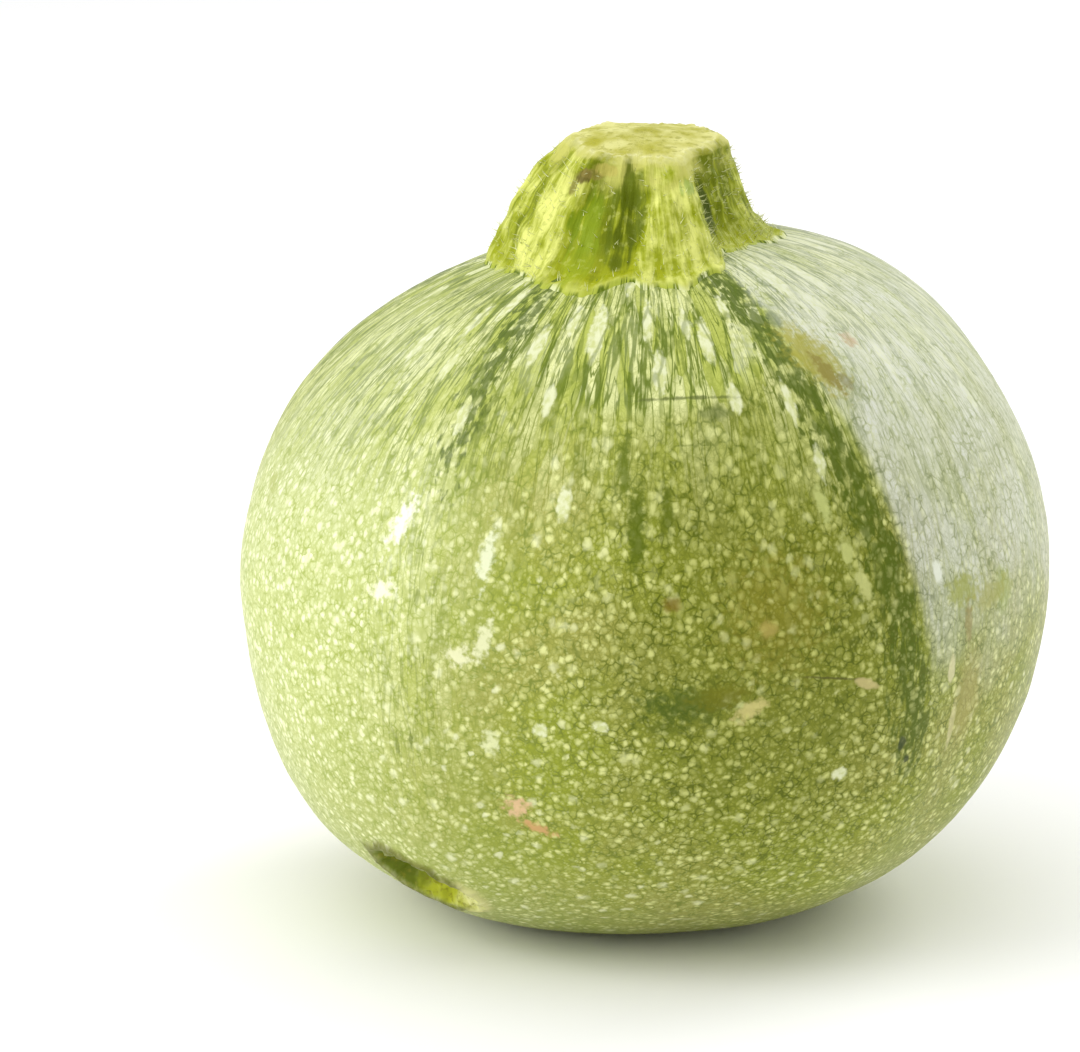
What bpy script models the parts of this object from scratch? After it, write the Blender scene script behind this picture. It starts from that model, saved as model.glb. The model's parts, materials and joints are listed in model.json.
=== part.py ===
"""Round courgette standing on its blossom end: the grown fruit and the cut stub of its stalk.

Metres, +Z up. The fruit rests on a flat patch at z = 0, centred under the whole object. An azimuth
is measured round the Z axis from the front (-Y) towards +X.
"""

import math

import bmesh
import bpy
from mathutils import Matrix, Vector
from mathutils.bvhtree import BVHTree

MM = 0.001

# Fruit: a belly circle, a crown above it and a base below it
BELLY_RADIUS = 45.0 * MM
BELLY_HEIGHT = 37.3 * MM
CROWN_RISE = 38.2 * MM
BASE_DROP = 36.9 * MM
CROWN_FULLNESS = 0.81       # below 1 the flanks above the belly are fuller than a ball's
BASE_FULLNESS = 0.67        # the same at the base
CROWN_POINT = 0.20          # how much more pointed than a ball the crown is
BASE_FLATNESS = 0.26        # how much flatter than a ball the base is
DEPTH_SCALE = 0.985         # the fruit is a little shallower than it is wide
CROWN_LEAN = 0.082          # the +X shoulder stands higher than the -X one
LEAN_POWER = 1.2            # how late above the belly the lean sets in
BASE_SHIFT = -1.9 * MM      # the base sits to -X of the crown

# Five soft ribs, one of them at this azimuth
RIB_COUNT = 5
RIB_AZIMUTH = math.radians(39.0)
RIB_CROWN = 0.036
RIB_BASE = 0.022

# The base has settled onto its flat patch
SETTLE_DEPTH = 1.3 * MM
SETTLE_RADIUS = 29.0 * MM
PATCH_EDGE = 0.25 * MM      # half the height over which the patch blends into the base

# Stalk stub round its axis: azimuth in degrees, reach of the foot, girth of the neck above the
# foot, and radius of the cut
FLUTES = (
    (-157.0, 17.2 * MM, 14.6 * MM, 9.0 * MM),
    (-125.0, 14.4 * MM, 12.2 * MM, 8.2 * MM),
    (-93.0, 17.6 * MM, 16.4 * MM, 8.9 * MM),
    (-56.0, 16.4 * MM, 14.4 * MM, 9.0 * MM),
    (-34.0, 19.2 * MM, 12.2 * MM, 8.4 * MM),
    (-20.0, 20.0 * MM, 11.9 * MM, 8.4 * MM),
    (-7.0, 17.4 * MM, 10.3 * MM, 7.6 * MM),
    (14.0, 19.6 * MM, 13.0 * MM, 8.9 * MM),
    (28.0, 17.2 * MM, 13.1 * MM, 9.4 * MM),
    (40.0, 13.6 * MM, 9.2 * MM, 7.7 * MM),
    (62.0, 13.6 * MM, 10.0 * MM, 8.3 * MM),
    (90.0, 15.6 * MM, 10.9 * MM, 8.9 * MM),
    (114.0, 13.2 * MM, 10.8 * MM, 8.2 * MM),
    (140.0, 16.8 * MM, 13.0 * MM, 8.9 * MM),
    (172.0, 13.8 * MM, 11.6 * MM, 8.2 * MM),
)
FOOT_THICKNESS = 0.5 * MM
FLARE_POWER = 3.2           # how suddenly the foot spreads over the crown
FOOT_EASE = 1.15            # above 1 the foot leaves the crown gently
NECK_POWER = 2.2            # above 1 the neck bulges before it narrows to the cut
CUT_HEIGHT = 86.2 * MM
CUT_DOME = 0.6 * MM
CUT_EDGE = 0.5 * MM

# A stalk ring's place from the middle of the underside (0) to the middle of the cut face (1)
FLANK_START = 0.18
FLANK_END = 0.82

# A gouge low on the front left side, facing outwards and down
GOUGE_AZIMUTH = math.radians(-41.5)
GOUGE_RADIUS = 35.6 * MM
GOUGE_HEIGHT = 8.8 * MM
GOUGE_DIP = -0.95           # fall of its outward direction for each unit of run
GOUGE_SIZE = (6.0 * MM, 2.2 * MM, 3.5 * MM)     # half length, depth, half width
GOUGE_ROLL = math.radians(24.0)

GAP = 0.3 * MM              # clearance between the stalk's foot and the fruit

FRUIT_SEGMENTS = (72, 38)
STALK_SEGMENTS = (72, 32)
GOUGE_SEGMENTS = (18, 10)


def clear_scene():
    """Remove every object that the file opened with."""
    for obj in list(bpy.data.objects):
        bpy.data.objects.remove(obj, do_unlink=True)


def new_collection(name):
    collection = bpy.data.collections.new(name)
    bpy.context.scene.collection.children.link(collection)
    return collection


def new_material(name, color, roughness):
    """A Principled material without metal."""
    material = bpy.data.materials.new(name)
    material.use_nodes = True
    shader = material.node_tree.nodes["Principled BSDF"]
    shader.inputs["Base Color"].default_value = (*color, 1.0)
    shader.inputs["Roughness"].default_value = roughness
    shader.inputs["Metallic"].default_value = 0.0
    return material


def direction(azimuth):
    """Unit vector in the ground plane at an azimuth."""
    return Vector((math.sin(azimuth), -math.cos(azimuth), 0.0))


def mix(low, high, share):
    return low + (high - low) * share


def ease(share):
    """Smooth step from 0 to 1."""
    return share * share * (3.0 - 2.0 * share)


def rib_swell(azimuth, rise):
    """How far the ribs push the skin out; rise is -1 at the base, 0 at the belly, 1 at the crown."""
    depth = (RIB_CROWN if rise > 0.0 else RIB_BASE) * rise * rise
    return 1.0 + depth * math.cos(RIB_COUNT * (azimuth - RIB_AZIMUTH))


def pressed(height):
    """Height after the ground has pushed the base flat, with a soft edge to the patch."""
    if height <= -PATCH_EDGE:
        return 0.0
    if height >= PATCH_EDGE:
        return height
    return (height + PATCH_EDGE) ** 2 / (4.0 * PATCH_EDGE)


def fruit_point(azimuth, latitude):
    """A point of the fruit's skin."""
    rise = math.sin(latitude)
    climb = abs(rise)
    fullness = CROWN_FULLNESS if rise >= 0.0 else mix(CROWN_FULLNESS, BASE_FULLNESS, climb)
    radius = BELLY_RADIUS * max(math.cos(latitude), 0.0) ** fullness
    radius *= rib_swell(azimuth, rise)
    point = direction(azimuth) * radius
    point.y *= DEPTH_SCALE
    if rise >= 0.0:
        lean = CROWN_LEAN * point.x * climb ** LEAN_POWER
        point.z = BELLY_HEIGHT + CROWN_RISE * climb ** (1.0 + CROWN_POINT * climb) + lean
    else:
        point.x += BASE_SHIFT * climb * climb
        settle = SETTLE_DEPTH * max(0.0, 1.0 - (radius / SETTLE_RADIUS) ** 2)
        drop = BASE_DROP * climb ** (1.0 - BASE_FLATNESS * climb)
        point.z = pressed(BELLY_HEIGHT - drop - settle)
    return point


def sculpted_ball(name, segments, shape, collection):
    """A UV sphere whose points are moved to shape(azimuth, latitude)."""
    bm = bmesh.new()
    bmesh.ops.create_uvsphere(bm, u_segments=segments[0], v_segments=segments[1], radius=1.0)
    for vert in bm.verts:
        azimuth = math.atan2(vert.co.x, -vert.co.y)
        latitude = math.asin(max(-1.0, min(1.0, vert.co.z)))
        vert.co = shape(azimuth, latitude)
    bmesh.ops.recalc_face_normals(bm, faces=bm.faces)
    mesh = bpy.data.meshes.new(name)
    bm.to_mesh(mesh)
    bm.free()
    mesh.shade_smooth()
    obj = bpy.data.objects.new(name, mesh)
    collection.objects.link(obj)
    return obj


def make_fruit(collection, cutters):
    """The fruit, with a gouge torn from its skin near the base."""
    fruit = sculpted_ball("fruit", FRUIT_SEGMENTS, fruit_point, collection)
    fruit.data.materials.append(new_material("skin", (0.36, 0.43, 0.11), 0.38))
    cut = fruit.modifiers.new("gouge", "BOOLEAN")
    cut.operation = "DIFFERENCE"
    cut.solver = "EXACT"
    cut.object = make_gouge_cutter(cutters)
    return fruit


def make_gouge_cutter(cutters):
    """A flattened ball that bites the gouge out of the fruit."""
    bm = bmesh.new()
    bmesh.ops.create_uvsphere(
        bm, u_segments=GOUGE_SEGMENTS[0], v_segments=GOUGE_SEGMENTS[1], radius=1.0)
    bmesh.ops.scale(bm, vec=GOUGE_SIZE, verts=bm.verts)
    place = direction(GOUGE_AZIMUTH)
    outward = (place + Vector((0.0, 0.0, GOUGE_DIP))).normalized()
    across = Vector((math.cos(GOUGE_AZIMUTH), math.sin(GOUGE_AZIMUTH), 0.0))
    along = Matrix.Rotation(-GOUGE_ROLL, 3, outward) @ across
    turn = Matrix((along, outward, along.cross(outward))).transposed()
    bmesh.ops.rotate(bm, matrix=turn, verts=bm.verts)
    place = place * GOUGE_RADIUS
    place.z = GOUGE_HEIGHT
    bmesh.ops.translate(bm, vec=place, verts=bm.verts)
    mesh = bpy.data.meshes.new("gouge_cutter")
    bm.to_mesh(mesh)
    bm.free()
    cutter = bpy.data.objects.new("gouge_cutter", mesh)
    cutter.hide_render = True
    cutter.display_type = "WIRE"
    cutters.objects.link(cutter)
    return cutter


def flute_row(azimuth):
    """Foot reach, neck girth and cut radius at an azimuth, eased from row to row of FLUTES."""
    degrees = math.degrees(azimuth)
    first = FLUTES[0]
    ring = FLUTES + ((first[0] + 360.0, *first[1:]),)
    if degrees < first[0]:
        degrees += 360.0
    for start, end in zip(ring, ring[1:]):
        if degrees <= end[0]:
            share = ease((degrees - start[0]) / (end[0] - start[0]))
            return [mix(low, high, share) for low, high in zip(start[1:], end[1:])]
    return list(first[1:])


def flank_radius(azimuth, climb):
    """The stalk's radius from its foot (climb 0) to its cut edge (climb 1)."""
    reach, girth, cut = flute_row(azimuth)
    neck = mix(cut, girth, 1.0 - climb ** NECK_POWER)
    return mix(neck, reach, (1.0 - climb) ** FLARE_POWER)


def make_stalk(collection, fruit):
    """The cut stub of the stalk: a fluted neck on a lobed foot that follows the crown."""
    crown = BVHTree.FromPolygons(
        [vert.co for vert in fruit.data.vertices],
        [face.vertices for face in fruit.data.polygons])

    def crown_height(x, y):
        start = Vector((x, y, CUT_HEIGHT * 2.0))
        return crown.ray_cast(start, Vector((0.0, 0.0, -1.0)))[0].z

    def stalk_point(azimuth, latitude):
        place = latitude / math.pi + 0.5
        reach = flute_row(azimuth)[0]
        if place <= FLANK_START:
            point = direction(azimuth) * reach * place / FLANK_START
            point.z = crown_height(point.x, point.y) + GAP
            return point
        if place >= FLANK_END:
            share = (1.0 - place) / (1.0 - FLANK_END)
            point = direction(azimuth) * (flank_radius(azimuth, 1.0) - CUT_EDGE) * share
            point.z = CUT_HEIGHT + CUT_DOME * (1.0 - share * share)
            return point
        climb = (place - FLANK_START) / (FLANK_END - FLANK_START)
        rim = direction(azimuth) * reach
        foot = crown_height(rim.x, rim.y) + GAP + FOOT_THICKNESS
        point = direction(azimuth) * flank_radius(azimuth, climb)
        slope = mix(foot, CUT_HEIGHT - CUT_EDGE, climb ** FOOT_EASE)
        point.z = max(slope, crown_height(point.x, point.y) + GAP + FOOT_THICKNESS)
        return point

    stalk = sculpted_ball("stalk_stub", STALK_SEGMENTS, stalk_point, collection)
    stalk.data.materials.append(new_material("stalk", (0.45, 0.50, 0.08), 0.55))
    return stalk


def centre_on_ground(pieces):
    """Move everything so that the pieces' common box is centred on the Z axis and stands at z = 0."""
    points = [vert.co for piece in pieces for vert in piece.data.vertices]
    low = [min(point[axis] for point in points) for axis in range(3)]
    high = [max(point[axis] for point in points) for axis in range(3)]
    shift = Vector((-(low[0] + high[0]) / 2.0, -(low[1] + high[1]) / 2.0, -low[2]))
    for obj in bpy.data.objects:
        obj.data.transform(Matrix.Translation(shift))


def main():
    clear_scene()
    courgette = new_collection("courgette")
    cutters = new_collection("cutters")
    fruit = make_fruit(courgette, cutters)
    stalk = make_stalk(courgette, fruit)
    centre_on_ground((fruit, stalk))


main()
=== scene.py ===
"""Looks of a round courgette: its netted skin, its cut stalk stub and the bristles on the stalk.

Metres, +Z up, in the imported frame. An azimuth is measured round the Z axis from the front (-Y)
towards +X, and a rise runs from -1 at the base through 0 at the belly to 1 at the crown.
"""

import json
import math
import random

import bmesh
import bpy
import numpy as np
from mathutils import Matrix, Vector, noise
from mathutils.bvhtree import BVHTree

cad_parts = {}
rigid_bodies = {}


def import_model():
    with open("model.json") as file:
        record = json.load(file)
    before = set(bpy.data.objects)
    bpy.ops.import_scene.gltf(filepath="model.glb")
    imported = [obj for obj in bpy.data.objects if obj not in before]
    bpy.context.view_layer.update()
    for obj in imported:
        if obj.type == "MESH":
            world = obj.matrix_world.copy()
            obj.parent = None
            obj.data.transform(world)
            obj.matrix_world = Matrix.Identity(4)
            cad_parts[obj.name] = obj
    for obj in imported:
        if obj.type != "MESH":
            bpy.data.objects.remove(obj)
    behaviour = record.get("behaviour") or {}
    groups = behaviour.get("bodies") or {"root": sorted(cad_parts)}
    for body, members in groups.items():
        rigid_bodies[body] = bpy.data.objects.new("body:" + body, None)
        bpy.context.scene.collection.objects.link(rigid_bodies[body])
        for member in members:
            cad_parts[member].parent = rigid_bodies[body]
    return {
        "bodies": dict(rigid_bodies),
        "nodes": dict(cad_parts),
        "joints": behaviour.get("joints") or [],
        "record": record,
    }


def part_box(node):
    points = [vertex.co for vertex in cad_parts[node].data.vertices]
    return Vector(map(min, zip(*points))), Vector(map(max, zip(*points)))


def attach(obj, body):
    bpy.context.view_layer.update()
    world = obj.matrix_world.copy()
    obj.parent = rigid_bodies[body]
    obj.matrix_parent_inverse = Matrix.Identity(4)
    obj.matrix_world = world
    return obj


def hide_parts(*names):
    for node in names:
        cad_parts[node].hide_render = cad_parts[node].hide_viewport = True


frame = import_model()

MM = 0.001
TURN = 2.0 * math.pi
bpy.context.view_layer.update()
FRUIT_LOW, FRUIT_HIGH = (Vector(corner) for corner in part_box("fruit"))
STALK_TOP = Vector(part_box("stalk_stub")[1]).z

# Fruit, in shares of its belly radius
BELLY_RADIUS = (FRUIT_HIGH.x - FRUIT_LOW.x) / 2.0
BELLY_HEIGHT = 0.829 * BELLY_RADIUS
CROWN_RISE = 0.849 * BELLY_RADIUS
BASE_DROP = 0.820 * BELLY_RADIUS
CROWN_FULLNESS = 0.81       # power of the flank above the belly; below 1 it is fuller than a ball's
BASE_FULLNESS = 0.67        # the same at the base
CROWN_POINT = 0.2           # how much more pointed than a ball the crown is
BASE_FLATNESS = 0.26        # how much flatter than a ball the base is
DEPTH_SCALE = 0.985
CROWN_LEAN = 0.082          # the +X shoulder stands higher than the -X one
LEAN_POWER = 1.2
BASE_SHIFT = -1.9 * MM      # the base sits to -X of the crown
FRUIT_FACES = (320, 240)    # round the fruit, and from base to crown

# Five soft ribs
RIB_COUNT = 5
RIB_AZIMUTH = math.radians(39.0)
RIB_CROWN = 0.036
RIB_BASE = 0.022
RIB_CREST = 0.45 * MM       # a narrow crest along each rib
RIB_CREST_WIDTH = math.radians(8.0)
RIB_FURROW = 0.35 * MM      # a shallow furrow on its +X side
RIB_FURROW_OFFSET = math.radians(15.0)
RIB_FURROW_WIDTH = math.radians(7.0)

# The base has settled onto its flat patch
SETTLE_DEPTH = 1.3 * MM
SETTLE_RADIUS = 29.0 * MM
PATCH_EDGE = 0.25 * MM
SCAR_RADIUS = 4.6 * MM      # the blossom scar in the middle of the patch
SCAR_DEPTH = 0.5 * MM

# Small forms: amount, size and seed of each layer of lumps
SKIN_LUMPS = ((0.28 * MM, 17.0 * MM, 1), (0.10 * MM, 6.0 * MM, 2), (0.03 * MM, 2.2 * MM, 3))
GOUGE_RAGS = ((0.20, 2.2 * MM, 4), (0.12, 0.8 * MM, 5))
FIBRE_LUMPS = ((0.30 * MM, 0.8, 11), (0.16 * MM, 0.35, 12))
KNOB_LUMPS = ((0.45 * MM, 3.0 * MM, 13), (0.2 * MM, 1.3 * MM, 14))
TOOTH_LUMPS = ((1.0, 1.6 * MM, 21), (0.6, 0.7 * MM, 22))

# Dark stripes down the ribs: azimuth in degrees at the crown, the belly and the base, strength, and
# the height at which the stripe has faded out downwards
STRIPES = (
    (27.0, 39.0, 45.0, 0.95, 14.0 * MM),
    (-31.0, -29.0, -34.0, 0.78, 47.0 * MM),
    (-31.0, -31.0, -38.0, 0.24, 6.0 * MM),
    (112.0, 111.0, 108.0, 0.8, 20.0 * MM),
    (178.0, 183.0, 185.0, 0.9, 12.0 * MM),
    (-102.0, -105.0, -107.0, 0.6, 36.0 * MM),
)
STRIPE_WIDTH = 5.0          # degrees

# Gouge low on the front left side
GOUGE_AZIMUTH = math.radians(-41.5)
GOUGE_RADIUS = 35.6 * MM
GOUGE_HEIGHT = 8.8 * MM
GOUGE_LENGTH = 6.2 * MM
GOUGE_WIDTH = 3.7 * MM
GOUGE_DEPTH = 2.0 * MM
GOUGE_ROLL = math.radians(24.0)

# Stalk stub round its axis: azimuth in degrees, then in mm the reach of the foot, the girth of the
# neck above it and the radius of the cut, and last the paleness of the skin
FLUTES = (
    (-157.0, 17.2, 14.6, 9.0, 0.8),
    (-125.0, 14.4, 12.2, 8.2, 0.2),
    (-93.0, 17.6, 16.4, 8.9, 0.9),
    (-75.0, 16.6, 14.4, 8.6, 0.35),
    (-56.0, 16.4, 14.4, 9.0, 1.0),
    (-43.0, 18.0, 13.8, 9.0, 0.8),
    (-34.0, 19.2, 12.2, 8.4, 0.15),
    (-20.0, 20.0, 11.9, 8.4, 0.05),
    (-7.0, 17.4, 10.3, 7.6, 0.0),
    (4.0, 18.6, 12.4, 8.6, 0.8),
    (14.0, 19.6, 13.0, 8.9, 0.7),
    (28.0, 17.2, 13.1, 9.4, 0.75),
    (40.0, 13.6, 9.2, 7.7, 0.05),
    (62.0, 13.6, 10.0, 8.3, 0.2),
    (90.0, 15.6, 10.9, 8.9, 0.5),
    (114.0, 13.2, 10.8, 8.2, 0.2),
    (140.0, 16.8, 13.0, 8.9, 0.8),
    (172.0, 13.8, 11.6, 8.2, 0.2),
)
REACH, GIRTH, CUT, PALE = range(1, 5)
FOOT_PLACE = 0.12           # share of the outline under the foot, and the share where the cut begins
CUT_PLACE = 0.80
FOOT_TEETH = 0.8 * MM       # the foot's edge is finely toothed
FOOT_LIP = 0.5 * MM         # thickness that the foot gains over its outer edge
FOOT_EDGE = 0.05            # climb over which it gains it
LIP_SINK = 0.4              # share of that thickness by which the edge starts below the skin
FOOT_SINK = 0.5 * MM        # how deep its underside lies in the skin
FLARE_POWER = 3.2           # how suddenly the foot spreads over the crown
FOOT_EASE = 1.15            # above 1 the foot leaves the crown gently
NECK_POWER = 2.2            # above 1 the neck bulges before it narrows to the cut
CUT_DOME = 0.6 * MM
CUT_HEIGHT = STALK_TOP - CUT_DOME
CUT_EDGE = 0.5 * MM
CUT_RAGGED = 0.4 * MM
CUT_TILT = 0.14             # the cut drops towards the front
STALK_FACES = (256, 150)    # round the stalk, and along its outline

BRISTLE_COUNT = 900
BRISTLE_SEED = 5

# Marks on the skin: azimuth, height, half width and half height in mm, turn, raggedness, softness,
# strength, colour
MARK_DEPTH = 3.0 * MM
SKIN_MARKS = (
    (34.5, 67, 2.1, 4.8, 14, 2.4, 0.5, 0.8, (160, 156, 56)),  # bruise on the shoulder
    (35.5, 65.5, 0.7, 2.6, 14, 2.6, 0.4, 0.7, (128, 116, 44)),
    (31.5, 70.5, 0.8, 1.4, 0, 0.9, 0.3, 0.6, (92, 108, 74)),
    (38, 64.5, 0.6, 1.2, 20, 0.9, 0.3, 0.5, (116, 110, 80)),
    (45.5, 68, 0.9, 0.8, 0, 3.4, 0.6, 0.6, (180, 146, 104)),  # rusty fleck beside it
    (8, 63.9, 4.6, 0.2, -3, 2.8, 0.7, 0.75, (80, 92, 30)),  # scratch below the stalk
    (12.5, 62.5, 1.5, 0.9, 0, 1.2, 0.5, 0.6, (84, 98, 40)),
    (-1, 52, 0.9, 4.4, 0, 2.8, 0.5, 0.85, (82, 98, 0)),  # dark green runs
    (-3.2, 57.5, 0.6, 3, 4, 2.6, 0.5, 0.8, (90, 106, 4)),
    (3.5, 53.5, 0.6, 2.8, 0, 2.6, 0.5, 0.75, (86, 100, 4)),
    (6, 33.7, 4.4, 1.7, 4, 4.2, 0.7, 0.8, (68, 88, 4)),  # green smudge on the belly
    (10.5, 34.6, 2.6, 1.3, 10, 3.2, 0.6, 0.7, (112, 112, 8)),
    (3.4, 31.4, 2, 0.9, 0, 3.2, 0.6, 0.6, (84, 98, 10)),
    (3.8, 44.5, 0.9, 0.7, 0, 1.6, 0.6, 0.8, (116, 98, 20)),
    (14.6, 33, 1.6, 0.8, 32, 3.4, 0.6, 0.85, (200, 190, 118)),  # tan scar at its end
    (26.8, 35.6, 3.6, 0.13, -8, 2.4, 0.6, 0.8, (84, 84, 30)),  # thin scratch by the stripe
    (31.5, 34.6, 1.4, 0.55, -20, 0.8, 0.3, 0.8, (198, 184, 124)),
    (38.5, 27.2, 0.5, 0.9, 0, 1, 0.3, 0.85, (56, 68, 34)),  # dark pits
    (40, 25.2, 0.35, 0.5, 0, 1, 0.3, 0.85, (56, 68, 34)),
    (-18.2, 21, 1.2, 1.2, 20, 3.2, 0.5, 0.9, (222, 186, 144)),  # pink scar near the base
    (-15.4, 18.6, 1.7, 0.6, -18, 3, 0.5, 0.9, (204, 160, 106)),
    (18, 43, 4.5, 5, 0, 3.6, 0.8, 0.35, (140, 128, 34)),  # brownish cast on the belly
    (17, 41.5, 0.9, 0.8, 0, 1, 0.5, 0.6, (184, 166, 88)),
    (-25.6, 37.9, 1.3, 0.9, 15, 4, 0.6, 0.85, (232, 232, 188)),  # pale star-like flecks
    (-22, 40, 0.7, 1.9, -14, 3.6, 0.6, 0.85, (228, 230, 184)),
    (-21.3, 28.6, 0.9, 1.1, 0, 3.6, 0.6, 0.8, (226, 230, 178)),
    (-22.5, 48.5, 0.7, 2.6, -6, 3.6, 0.6, 0.85, (232, 237, 200)),
    (-38, 43.6, 1.2, 0.9, 25, 4, 0.6, 0.8, (246, 246, 218)),
    (-37, 50.6, 0.9, 2.6, -22, 4, 0.6, 0.85, (246, 248, 226)),
    (31.5, 45, 0.7, 1.9, 18, 2.2, 0.4, 0.8, (196, 200, 124)),  # long flecks along the stripe
    (29.5, 48.5, 0.6, 1.6, 8, 2.2, 0.4, 0.8, (192, 198, 118)),
    (27, 53.5, 0.6, 2, 10, 2.2, 0.4, 0.75, (192, 200, 120)),
    (44.5, 45, 0.7, 1.2, 10, 1, 0.3, 0.8, (232, 236, 218)),  # white fleck in the wax
    (47, 34, 0.6, 1.6, 0, 1.1, 0.3, 0.7, (222, 216, 168)),
    (49, 27.5, 0.5, 2.6, 0, 1.1, 0.3, 0.6, (216, 210, 158)),
    (52, 30, 2.2, 4.5, 0, 1.3, 0.6, 0.5, (168, 158, 86)),  # brownish patch below the wax
    (60, 41, 1.6, 2.2, 0, 1.3, 0.6, 0.5, (150, 168, 60)),
    (50, 42.4, 2.4, 1.6, 0, 3.4, 0.6, 0.75, (156, 162, 76)),
    (57, 41, 3.2, 1.2, 6, 3.4, 0.6, 0.65, (164, 164, 88)),
    (51, 38.4, 0.6, 2.2, 0, 2.4, 0.5, 0.7, (150, 138, 84)),
    (-74, 49.5, 2.2, 1, -30, 3.4, 0.6, 0.55, (158, 166, 76)),
    (150, 30, 1.4, 0.8, 0, 1, 0.3, 0.7, (204, 178, 124)),  # marks on the far side
    (-140, 52, 3, 0.3, 20, 1, 0.4, 0.6, (96, 104, 52)),
    (-120, 24, 1, 0.8, 0, 1, 0.3, 0.7, (212, 188, 136)),
    (98, 58, 2.2, 0.25, -30, 1, 0.4, 0.6, (110, 112, 76)),
)

# The largest pale flecks: azimuth, height, half width and half length in mm
LARGE_FLECKS = (
    (-24.5, 68, 0.85, 4.2),
    (-18.5, 70.3, 0.7, 3.4),
    (-18, 63.7, 0.85, 2.4),
    (-11.5, 69.5, 1.15, 5),
    (0.8, 70.4, 0.65, 4.6),
    (3.2, 66.2, 0.95, 3.6),
    (10, 70.2, 0.6, 3.4),
    (14, 68.9, 0.85, 4),
    (16.5, 63.8, 0.85, 2.4),
    (26, 63.2, 0.7, 3.4),
    (28, 57.4, 0.75, 2.6),
    (-40, 70.7, 0.9, 3.8),
    (-46.5, 69, 0.9, 3.4),
    (-43, 65.2, 0.8, 3),
    (-12, 54.1, 1, 2.5),
    (-5.7, 31.4, 1.1, 0.9),
    (-14, 30.4, 1, 1.1),
    (29, 24.5, 1.1, 1),
    (-58, 66, 0.9, 3.4),
    (52, 66, 0.9, 3.4),
    (70, 60, 1, 2.8),
    (-32.5, 61, 0.8, 2.6),
    (-5, 73, 0.7, 2.6),
    (21, 71.5, 0.6, 2.8),
)

# Marks on the stalk: azimuth and half angle in degrees, climb and half climb, strength, colour
STALK_MARKS = (
    (-42, 5, 0.87, 0.05, 0.9, (96, 84, 34)),
    (-37, 6, 0.9, 0.03, 0.6, (140, 126, 60)),
    (-46, 3, 0.8, 0.06, 0.7, (112, 102, 42)),  # brown scar under the cut
    (-26, 9, 0.95, 0.04, 0.6, (184, 172, 84)),
    (24, 6, 0.8, 0.08, 0.35, (128, 168, 100)),  # blue-green mark
    # Painted shade in a dark, bristly recess.
    (41, 8, 0.5, 0.26, 0.85, (72, 86, 26)),  # dark, bristly recess
    # Painted shade down a narrow groove.
    (-11, 8, 0.58, 0.45, 0.88, (92, 106, 0)),  # shadowed groove
    (-30, 9, 0.55, 0.25, 0.5, (118, 144, 8)),
    (-28, 7, 0.35, 0.3, 0.5, (140, 160, 24)),
)

# Skin pattern: the net's cells, long flecks under the stalk and fine threads down the flanks
CELL_SQUEEZE = 0.66         # the cells stretch lengthwise towards the crown
FLECKS_ROUND = 66.0         # flecks side by side round the fruit
FLECK_LENGTH = 11.0 * MM
THREADS_ROUND = 150.0
THREAD_LENGTH = 8.0 * MM
NET_SCALE = 1080.0          # cells in a metre: the net, its grain, the larger spots and the chains
GRAIN_SCALE = 2300.0
SPOT_SCALE = 560.0
CHAIN_SCALE = 760.0
LONG_FLECKS = {"Wobble": 0.5, "Line Width": 0.07}
VEIN_GREEN = (90, 110, 2)

# Camera
CAMERA_PLACE = Vector((0.0, -0.6792, 0.2093))
CAMERA_AIM = Vector((-0.0115, 0.0, 0.0422))
CAMERA_LENS = 210.0


# ---- small helpers

def soft(value, low, high):
    """Smooth step from 0 at low to 1 at high, for numbers and arrays."""
    share = np.clip((value - low) / (high - low), 0.0, 1.0)
    return share * share * (3.0 - 2.0 * share)


def bump(value, middle, width):
    """A bell of height 1 round middle."""
    return np.exp(-((value - middle) / width) ** 2)


def turned(angle):
    """Angle in radians brought into -pi..pi."""
    return (angle + math.pi) % TURN - math.pi


def srgb(red, green, blue):
    """Linear colour with alpha from display values of 0 to 255."""
    def linear(value):
        share = value / 255.0
        return share / 12.92 if share <= 0.04045 else ((share + 0.055) / 1.055) ** 2.4
    return (linear(red), linear(green), linear(blue), 1.0)


def lumps(points, size, seed):
    """Smooth noise of about -1 to 1 at each point, with lumps of the given size."""
    offset = Vector((seed * 7.31, seed * 3.17, seed * 5.73))
    return np.array([noise.noise(Vector(point) / size + offset) for point in points])


def layered(points, layers):
    """Sum of several layers of lumps."""
    return sum(amount * lumps(points, size, seed) for amount, size, seed in layers)


# ---- meshes

def unit_ball(segments, rings):
    bm = bmesh.new()
    bmesh.ops.create_uvsphere(bm, u_segments=segments, v_segments=rings, radius=1.0)
    return bm


def ball_angles(bm):
    """Azimuth and latitude of every vertex of a unit ball."""
    points = np.array([vert.co.normalized()[:] for vert in bm.verts])
    azimuth = np.arctan2(points[:, 0], -points[:, 1])
    latitude = np.arcsin(np.clip(points[:, 2], -1.0, 1.0))
    return azimuth, latitude


def mesh_object(name, bm, points):
    """A smooth object from a ball's faces, with its vertices at the given points."""
    bmesh.ops.recalc_face_normals(bm, faces=bm.faces)
    mesh = bpy.data.meshes.new(name)
    bm.to_mesh(mesh)
    bm.free()
    set_points(mesh, points)
    mesh.shade_smooth()
    return linked_object(name, mesh)


def linked_object(name, data):
    made = bpy.data.objects.new(name, data)
    bpy.context.scene.collection.objects.link(made)
    return made


def set_points(mesh, points):
    mesh.vertices.foreach_set("co", points.astype(np.float32).ravel())
    mesh.update()


def vertex_normals(mesh):
    flat = np.empty(len(mesh.vertices) * 3)
    mesh.vertex_normals.foreach_get("vector", flat)
    return flat.reshape(-1, 3)


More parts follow.
